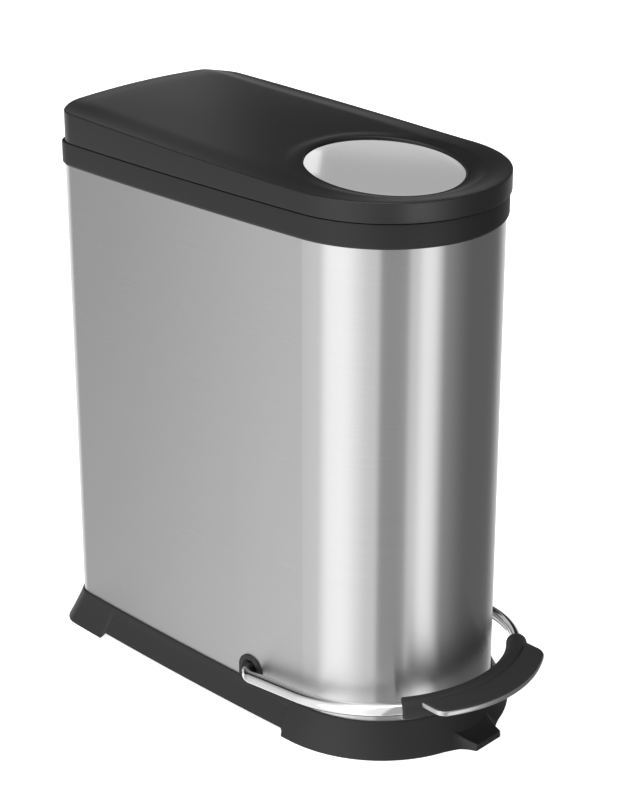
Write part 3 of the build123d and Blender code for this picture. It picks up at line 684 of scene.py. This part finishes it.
def build_bush(s, name, node):
    m = Mesh()
    n = 72

    def arch_pts(r, low):
        # half round above the pivot, straight sides down to low
        pts = []
        for i in range(n):
            a = 2 * math.pi * i / n
            c, q = math.cos(a), math.sin(a)
            if q >= 0:
                pts.append((r * c, r * q))
            else:
                # ray from the centre meets a straight side or the lower edge
                t = min(r / max(abs(c), 1e-6), low / max(-q, 1e-6))
                pts.append((t * c, t * q))
        return pts

    low = PIVOT_Z - 35.9
    X = lambda d: s * (WALL_X + d)
    rings = []
    for r, lw, d in ((16.8, low, -0.3), (16.8, low, 1.3), (16.65, low - 0.1, 1.75), (16.2, low - 0.3, 2.08), (15.6, low - 0.6, 2.2)):
        rings.append([(X(d), PIVOT_Y + a, PIVOT_Z + b) for a, b in arch_pts(r, lw)])

    def round_ring(r, d):
        return [(X(d), PIVOT_Y + a, PIVOT_Z + b) for a, b in circle(n, r)]

    # raised collar round the hole, then the mouth
    rings.append([(X(2.2), PIVOT_Y + a * 0.9, PIVOT_Z + (b * 0.9 if b > 0 else max(b, -low + 0.6) )) for a, b in circle(n, 14.6)])
    for r, d in ((13.4, 2.25), (12.9, 2.5), (12.3, 2.62), (11.7, 2.5), (11.2, 2.1), (10.2, 0.9), (8.7, -0.9), (7.3, -2.4), (7.12, -3.2), (7.12, -16.5), (11.9, -16.5), (11.9, -0.3)):
        rings.append(round_ring(r, d))
    m.chain(rings, loop=True)
    return m.obj(name, "bin_body", "bush_plastic", 34.0, [node])


build_bush(-1, "bush_left_arch", "pedal_bush_left")
build_bush(1, "bush_right_arch", "pedal_bush_right")

# ---------------------------------------------------------------------------
# pedal: bent tube, rubber sleeve, steel tread with its pad
# ---------------------------------------------------------------------------
TAU = math.radians(5.5)
BAIL_U, BAIL_X, BEND, TUBE_R, SLEEVE_R = 87.9, 141.5, 17.0, 7.0, 11.5


def bail(x, y, z=0.0):
    """Point of the bent tube's plane: y to the rear, z up from the plane."""
    return (x, PIVOT_Y + y * math.cos(TAU) + z * math.sin(TAU), PIVOT_Z - y * math.sin(TAU) + z * math.cos(TAU))


def pipe(m, path, radii, n=40, inner=None):
    """Closed pipe along a flat path [(x, y)] of the tube's plane; radii per point."""
    k = len(path)
    rings = []
    for i, (x, y) in enumerate(path):
        a, b = path[max(0, i - 1)], path[min(k - 1, i + 1)]
        tx, ty = b[0] - a[0], b[1] - a[1]
        L = math.hypot(tx, ty)
        nx, ny = -ty / L, tx / L
        r = radii[i]
        rings.append([bail(x + nx * r * math.cos(q), y + ny * r * math.cos(q), r * math.sin(q)) for q in (2 * math.pi * j / n for j in range(n))])
    return rings


def build_tube():
    path = []
    for i in range(9):
        path.append((-111.0 - (BAIL_X - BEND - 111.0) * i / 8, 0.0))
    for i in range(1, 17):
        a = math.radians(90 + 90 * i / 16)
        path.append((-(BAIL_X - BEND) + BEND * math.cos(a), -BEND + BEND * math.sin(a)))
    for i in range(1, 9):
        path.append((-BAIL_X, -BEND - (BAIL_U - BEND) * i / 8))
    na = 120
    for i in range(1, na + 1):
        a = math.radians(180 + 180 * i / na)
        path.append((BAIL_X * math.cos(a), -BAIL_U + BAIL_X * math.sin(a)))
    right = [(-x, y) for x, y in reversed(path[:33])]
    path += right[1:]
    m = Mesh()
    outer = pipe(m, path, [TUBE_R - 0.3] + [TUBE_R] * (len(path) - 2) + [TUBE_R - 0.3])
    inn = pipe(m, path, [TUBE_R - 1.6] * len(path))
    m.chain(outer + inn[::-1], loop=True)
    return m.obj("pedal_tube", "pedal", "bright_tube", 40.0, ["pedal_bail"])


def build_sleeve():
    m = Mesh()
    end = math.degrees(math.asin(94.5 / BAIL_X))
    path, rad = [], []
    n = 90
    deg = math.degrees(1.0 / BAIL_X)      # one millimetre along the arc
    head = [(0.0, 8.9), (0.05, 9.6), (0.35, 10.4), (0.9, 11.0), (1.7, 11.4), (2.8, SLEEVE_R)]
    for t, r in head:
        path.append(-end + t * deg)
        rad.append(r)
    for i in range(1, n):
        t = -end + 2.8 * deg + (2 * end - 5.6 * deg) * i / n
        path.append(t)
        rad.append(SLEEVE_R)
    for t, r in reversed(head):
        path.append(end - t * deg)
        rad.append(r)
    pts = [(BAIL_X * math.sin(math.radians(t)), -BAIL_U - BAIL_X * math.cos(math.radians(t))) for t in path]
    outer = pipe(m, pts, rad, 48)
    inn = pipe(m, pts, [TUBE_R + 0.05] * len(pts), 48)
    m.chain(outer + inn[::-1], loop=True)
    return m.obj("pedal_sleeve_rubber", "pedal", "sleeve_rubber", 40.0, ["pedal_sleeve"])


FALL = math.radians(1.25)
T_REF_Y, T_REF_Z = -130.0, 79.6
T_R1, T_CY1, T_R0, T_CY0, T_HX, T_C = 155.7, -35.4, 165.5, 1.85, 86.0, 15.0


def tread_pt(x, y, v):
    """Point of the tread: y in plan along its plane, v above the plate's top."""
    q = y - T_REF_Y
    return (x, T_REF_Y + q * math.cos(FALL) - v * math.sin(FALL), T_REF_Z + q * math.sin(FALL) + v * math.cos(FALL))


def tread_loop(inset):
    r1, hx, c = T_R1 - inset, T_HX - inset, max(2.0, T_C - inset)
    # rounded front corner: circle of radius c inside the front arc and the side line
    xc = hx - c
    yc = T_CY1 - math.sqrt((r1 - c) ** 2 - xc ** 2)
    a = math.atan2(yc - T_CY1, xc)                   # towards the touching point
    right = []
    n = 44
    for i in range(n + 1):
        t = -math.pi / 2 + (a + math.pi / 2) * i / n
        right.append((r1 * math.cos(t), T_CY1 + r1 * math.sin(t)))
    for i in range(1, 13):
        t = a + (0 - a) * i / 12
        right.append((xc + c * math.cos(t), yc + c * math.sin(t)))
    r0 = T_R0 - min(inset, 0.6)
    yi = T_CY0 - math.sqrt(r0 ** 2 - hx ** 2)
    right.append((hx, (right[-1][1] + yi) / 2))
    b = math.atan2(yi - T_CY0, hx)
    rear = []
    for i in range(0, 49):
        t = b + (-math.pi - b - b) * i / 48
        t = b + ((-math.pi - b) - b) * i / 48
        rear.append((r0 * math.cos(t), T_CY0 + r0 * math.sin(t)))
    left = [(-x, y) for x, y in reversed(right)][:-1]
    return right + rear + left


def build_tread():
    m = Mesh()
    rings = []
    for ins, v in ((1.7, -5.6), (1.0, -5.5), (0.45, -5.15), (0.12, -4.6), (0.0, -3.9), (0.0, -1.5), (0.1, -0.8), (0.35, -0.3), (0.8, -0.05), (1.3, 0.0)):
        rings.append([tread_pt(x, y, v) for x, y in tread_loop(ins)])
    rs = m.chain(rings)
    m.ngon(rs[0])
    m.ngon(rs[-1])
    m.obj("tread_steel_plate", "pedal", "tread_steel", 40.0, ["tread_plate"])
    m = Mesh()
    rings = []
    for ins, v in ((1.3, 0.0), (1.25, 0.5), (1.4, 0.95), (1.8, 1.25), (2.5, 1.4), (4.0, 1.38), (7.0, 1.3)):
        rings.append([tread_pt(x, y, v) for x, y in tread_loop(ins)])
    rs = m.chain(rings)
    m.ngon(rs[0])
    m.ngon(rs[-1])
    m.obj("tread_rubber_pad", "pedal", "tread_rubber", 40.0, ["tread_pad"])


build_tube()
build_sleeve()
build_tread()

# ---------------------------------------------------------------------------
# floor, light, camera
# ---------------------------------------------------------------------------
bm = bmesh.new()
bmesh.ops.create_grid(bm, x_segments=8, y_segments=8, size=14.0)
me = bpy.data.meshes.new("floor")
bm.to_mesh(me)
bm.free()
floor = bpy.data.objects.new("floor", me)
floor.location = (0, 0, -0.0002)
bpy.context.scene.collection.objects.link(floor)
fm = Mat("floor_paint")
f = fm.noise(fm.mapped((3.0, 3.0, 3.0)), 1.0, 2.0)
fm.link(fm.grey(f, 0.90, 0.92), fm.b.inputs["Base Color"])
fm.put("Roughness", 0.9)
fm.put("Specular IOR Level", 0.0)
fm.put("Emission Color", (1, 1, 1, 1))
fm.put("Emission Strength", 0.8)
floor.data.materials.append(fm.m)
floor.visible_glossy = False
floor.visible_diffuse = False
floor.visible_shadow = False

world = bpy.data.worlds.new("studio")
bpy.context.scene.world = world
world.use_nodes = True
wt = world.node_tree
wt.nodes.clear()


def wn(kind, **kw):
    node = wt.nodes.new(kind)
    for k, v in kw.items():
        setattr(node, k, v)
    return node


def wmath(op, a, b=None, clamp=False):
    node = wn("ShaderNodeMath", operation=op, use_clamp=clamp)
    for i, v in enumerate((a, b)):
        if v is None:
            continue
        if isinstance(v, (int, float)):
            node.inputs[i].default_value = v
        else:
            wt.links.new(v, node.inputs[i])
    return node.outputs[0]


def step(x, a, b):
    """Smooth step of x from a (0) to b (1); a may be above b."""
    node = wn("ShaderNodeMapRange", interpolation_type="SMOOTHSTEP", clamp=True)
    wt.links.new(x, node.inputs["Value"])
    lo, hi = (a, b) if a < b else (b, a)
    node.inputs["From Min"].default_value = lo
    node.inputs["From Max"].default_value = hi
    node.inputs["To Min"].default_value = 0.0 if a < b else 1.0
    node.inputs["To Max"].default_value = 1.0 if a < b else 0.0
    return node.outputs["Result"]


def prod(*v):
    out = v[0]
    for w in v[1:]:
        out = wmath("MULTIPLY", out, w)
    return out


def total(*v):
    out = v[0]
    for w in v[1:]:
        out = wmath("ADD", out, w)
    return out


tc = wn("ShaderNodeTexCoord")
sp = wn("ShaderNodeSeparateXYZ")
wt.links.new(tc.outputs["Generated"], sp.inputs[0])
wx, wy, wz = sp.outputs
azim = wmath("MULTIPLY", wmath("ARCTAN2", wx, wmath("MULTIPLY", wy, -1.0)), 180.0 / math.pi)
elev = wmath("MULTIPLY", wmath("ARCSINE", wz), 180.0 / math.pi)

# soft lobes of the studio, each a product of smooth steps in azimuth and height
low = 0.42                                             # grey surround
floorward = step(elev, 18.0, -4.0)
side_a = prod(step(azim, -149.0, -118.0), step(azim, -47.5, -53.5), 0.50)
lobe_a = prod(step(azim, -110.0, -102.0), step(azim, -58.0, -88.0), 0.58)
side_low = prod(step(azim, -162.0, -146.0), step(azim, -120.0, -136.0), step(elev, -12.0, -55.0), 0.42)
side_b = prod(step(azim, -25.5, -20.5), step(azim, 12.0, 8.0), floorward, 0.52)
lobe_b = prod(step(azim, -16.0, -7.0), step(azim, 9.5, 1.0), floorward, 0.56)
dark_r = prod(step(azim, 8.0, 44.0), step(azim, 106.0, 84.0), -0.25)
below = step(elev, 13.0, -4.0)
lobe_c = prod(step(azim, 86.0, 128.0), below, 0.80)
lobe_d = prod(step(azim, -150.0, -172.0), below, 0.80)
dark_back = prod(step(azim, 84.0, 106.0), step(elev, 0.0, 17.0), step(elev, 64.0, 48.0), -0.40)
dark_back2 = prod(step(azim, -148.0, -164.0), step(elev, 0.0, 17.0), step(elev, 64.0, 48.0), -0.40)
over = prod(step(elev, 56.0, 76.0), 1.0)
sky = total(low, side_a, lobe_a, side_low, side_b, lobe_b, dark_r, lobe_c, lobe_d, dark_back, dark_back2, over)
bgs = wn("ShaderNodeBackground")
bgs.inputs["Color"].default_value = (1, 1, 1, 1)
wt.links.new(sky, bgs.inputs["Strength"])
bgc = wn("ShaderNodeBackground")
bgc.inputs["Color"].default_value = (1, 1, 1, 1)
bgc.inputs["Strength"].default_value = 1.0
lp = wn("ShaderNodeLightPath")
mix = wn("ShaderNodeMixShader")
wt.links.new(lp.outputs["Is Camera Ray"], mix.inputs[0])
wt.links.new(bgs.outputs[0], mix.inputs[1])
wt.links.new(bgc.outputs[0], mix.inputs[2])
wo = wn("ShaderNodeOutputWorld")
wt.links.new(mix.outputs[0], wo.inputs["Surface"])


def area(name, where, to, size, watts, size_y=None):
    li = bpy.data.lights.new(name, "AREA")
    li.energy = watts
    li.size = size
    if size_y:
        li.shape = "RECTANGLE"
        li.size_y = size_y
    ob = bpy.data.objects.new(name, li)
    ob.location = where
    ob.rotation_mode = "QUATERNION"
    ob.rotation_quaternion = (Vector(to) - Vector(where)).to_track_quat("-Z", "Y")
    bpy.context.scene.collection.objects.link(ob)
    return ob


sun = bpy.data.lights.new("soft_sun", "SUN")
sun.energy = 1.1
sun.angle = math.radians(75.0)
sun_ob = bpy.data.objects.new("soft_sun", sun)
sun_ob.rotation_mode = "QUATERNION"
sun_ob.rotation_quaternion = Vector((0.25, 0.30, -1.0)).to_track_quat("-Z", "Y")
bpy.context.scene.collection.objects.link(sun_ob)
sun_ob.visible_glossy = False


def card(name, azimuth, elevation, dist, size, size_y, watts, only, mid=(0.0, 0.0, 612.0)):
    """Soft card that lights only the named objects; azimuth 0 is in front of the bin."""
    a, e = math.radians(azimuth), math.radians(elevation)
    mid = V(*mid)
    where = mid + dist * Vector((math.sin(a) * math.cos(e), -math.cos(a) * math.cos(e), math.sin(e)))
    ob = area(name, where, mid, size, watts, size_y)
    col = bpy.data.collections.new(name + "_receives")
    for o in only:
        col.objects.link(o)
    ob.light_linking.receiver_collection = col
    ob.visible_camera = False
    return ob


DISC = bpy.data.objects["lid_disc_spun"]
LID = bpy.data.objects["lid_top_moulding"]
TUBE = bpy.data.objects["pedal_tube"]
card("disc_card", 130.0, 24.0, 2.0, 0.95, 1.05, 1.76, [DISC])
card("disc_card_near", 130.0, -6.0, 2.0, 0.9, 0.5, 2.0, [DISC])
card("disc_card_far", 130.0, 52.0, 2.0, 0.9, 0.6, 1.2, [DISC])
# a small card close to the disc: the crescent along its left edge
RDIR = Vector((0.711, 0.580, 0.397))
LDIR = Vector((-0.695, 0.719, 0.0))
base = V(0, 0, 611)
edge = area("disc_card_edge", base + 0.22 * RDIR + 0.126 * LDIR, base + 0.126 * LDIR, 0.12, 0.12 * 0.34 * math.pi * 0.62, 0.34)
edge.light_linking.receiver_collection = bpy.data.collections["disc_card_receives"]
edge.visible_camera = False
# the light part along the disc's far edge
card("disc_card_streak", 126.0, 31.0, 2.2, 0.38, 0.40, 0.38 * 0.40 * math.pi * 0.30, [DISC])
# cards for the lid's crease and front wall, and for the bent tube
card("crease_card", -45.0, 72.0, 1.6, 0.45, 0.45, 3.4, [LID], (0, 60, 612))
card("rear_card", 146.0, 24.0, 0.7, 0.34, 0.30, 0.16, [LID], (30, 330, 612))
card("front_card", -22.0, -13.0, 2.2, 0.7, 0.5, 4.4, [LID], (0, 0, 600))
card("tube_card", 158.0, 24.0, 1.5, 0.90, 0.35, 0.46, [TUBE], (130, -80, 45))

# camera
AZ, PITCH, FPX, DIST = math.radians(-45.77), math.radians(20.61), 1998.44, 2.22503
TARGET = V(45.78, 147.56, 409.28)
back = Vector((math.sin(AZ) * math.cos(PITCH), -math.cos(AZ) * math.cos(PITCH), math.sin(PITCH)))
cd = bpy.data.cameras.new("camera")
cd.sensor_width = 36.0
cd.lens = FPX * 36.0 / 800.0
cd.shift_y = -0.12
cd.clip_start, cd.clip_end = 0.05, 100.0
cam = bpy.data.objects.new("camera", cd)
cam.location = TARGET + back * DIST
cam.rotation_mode = "QUATERNION"
cam.rotation_quaternion = (-back).to_track_quat("-Z", "Y")
bpy.context.scene.collection.objects.link(cam)
bpy.context.scene.camera = cam
bpy.context.scene.view_settings.view_transform = "Standard"
bpy.context.scene.view_settings.look = "None"
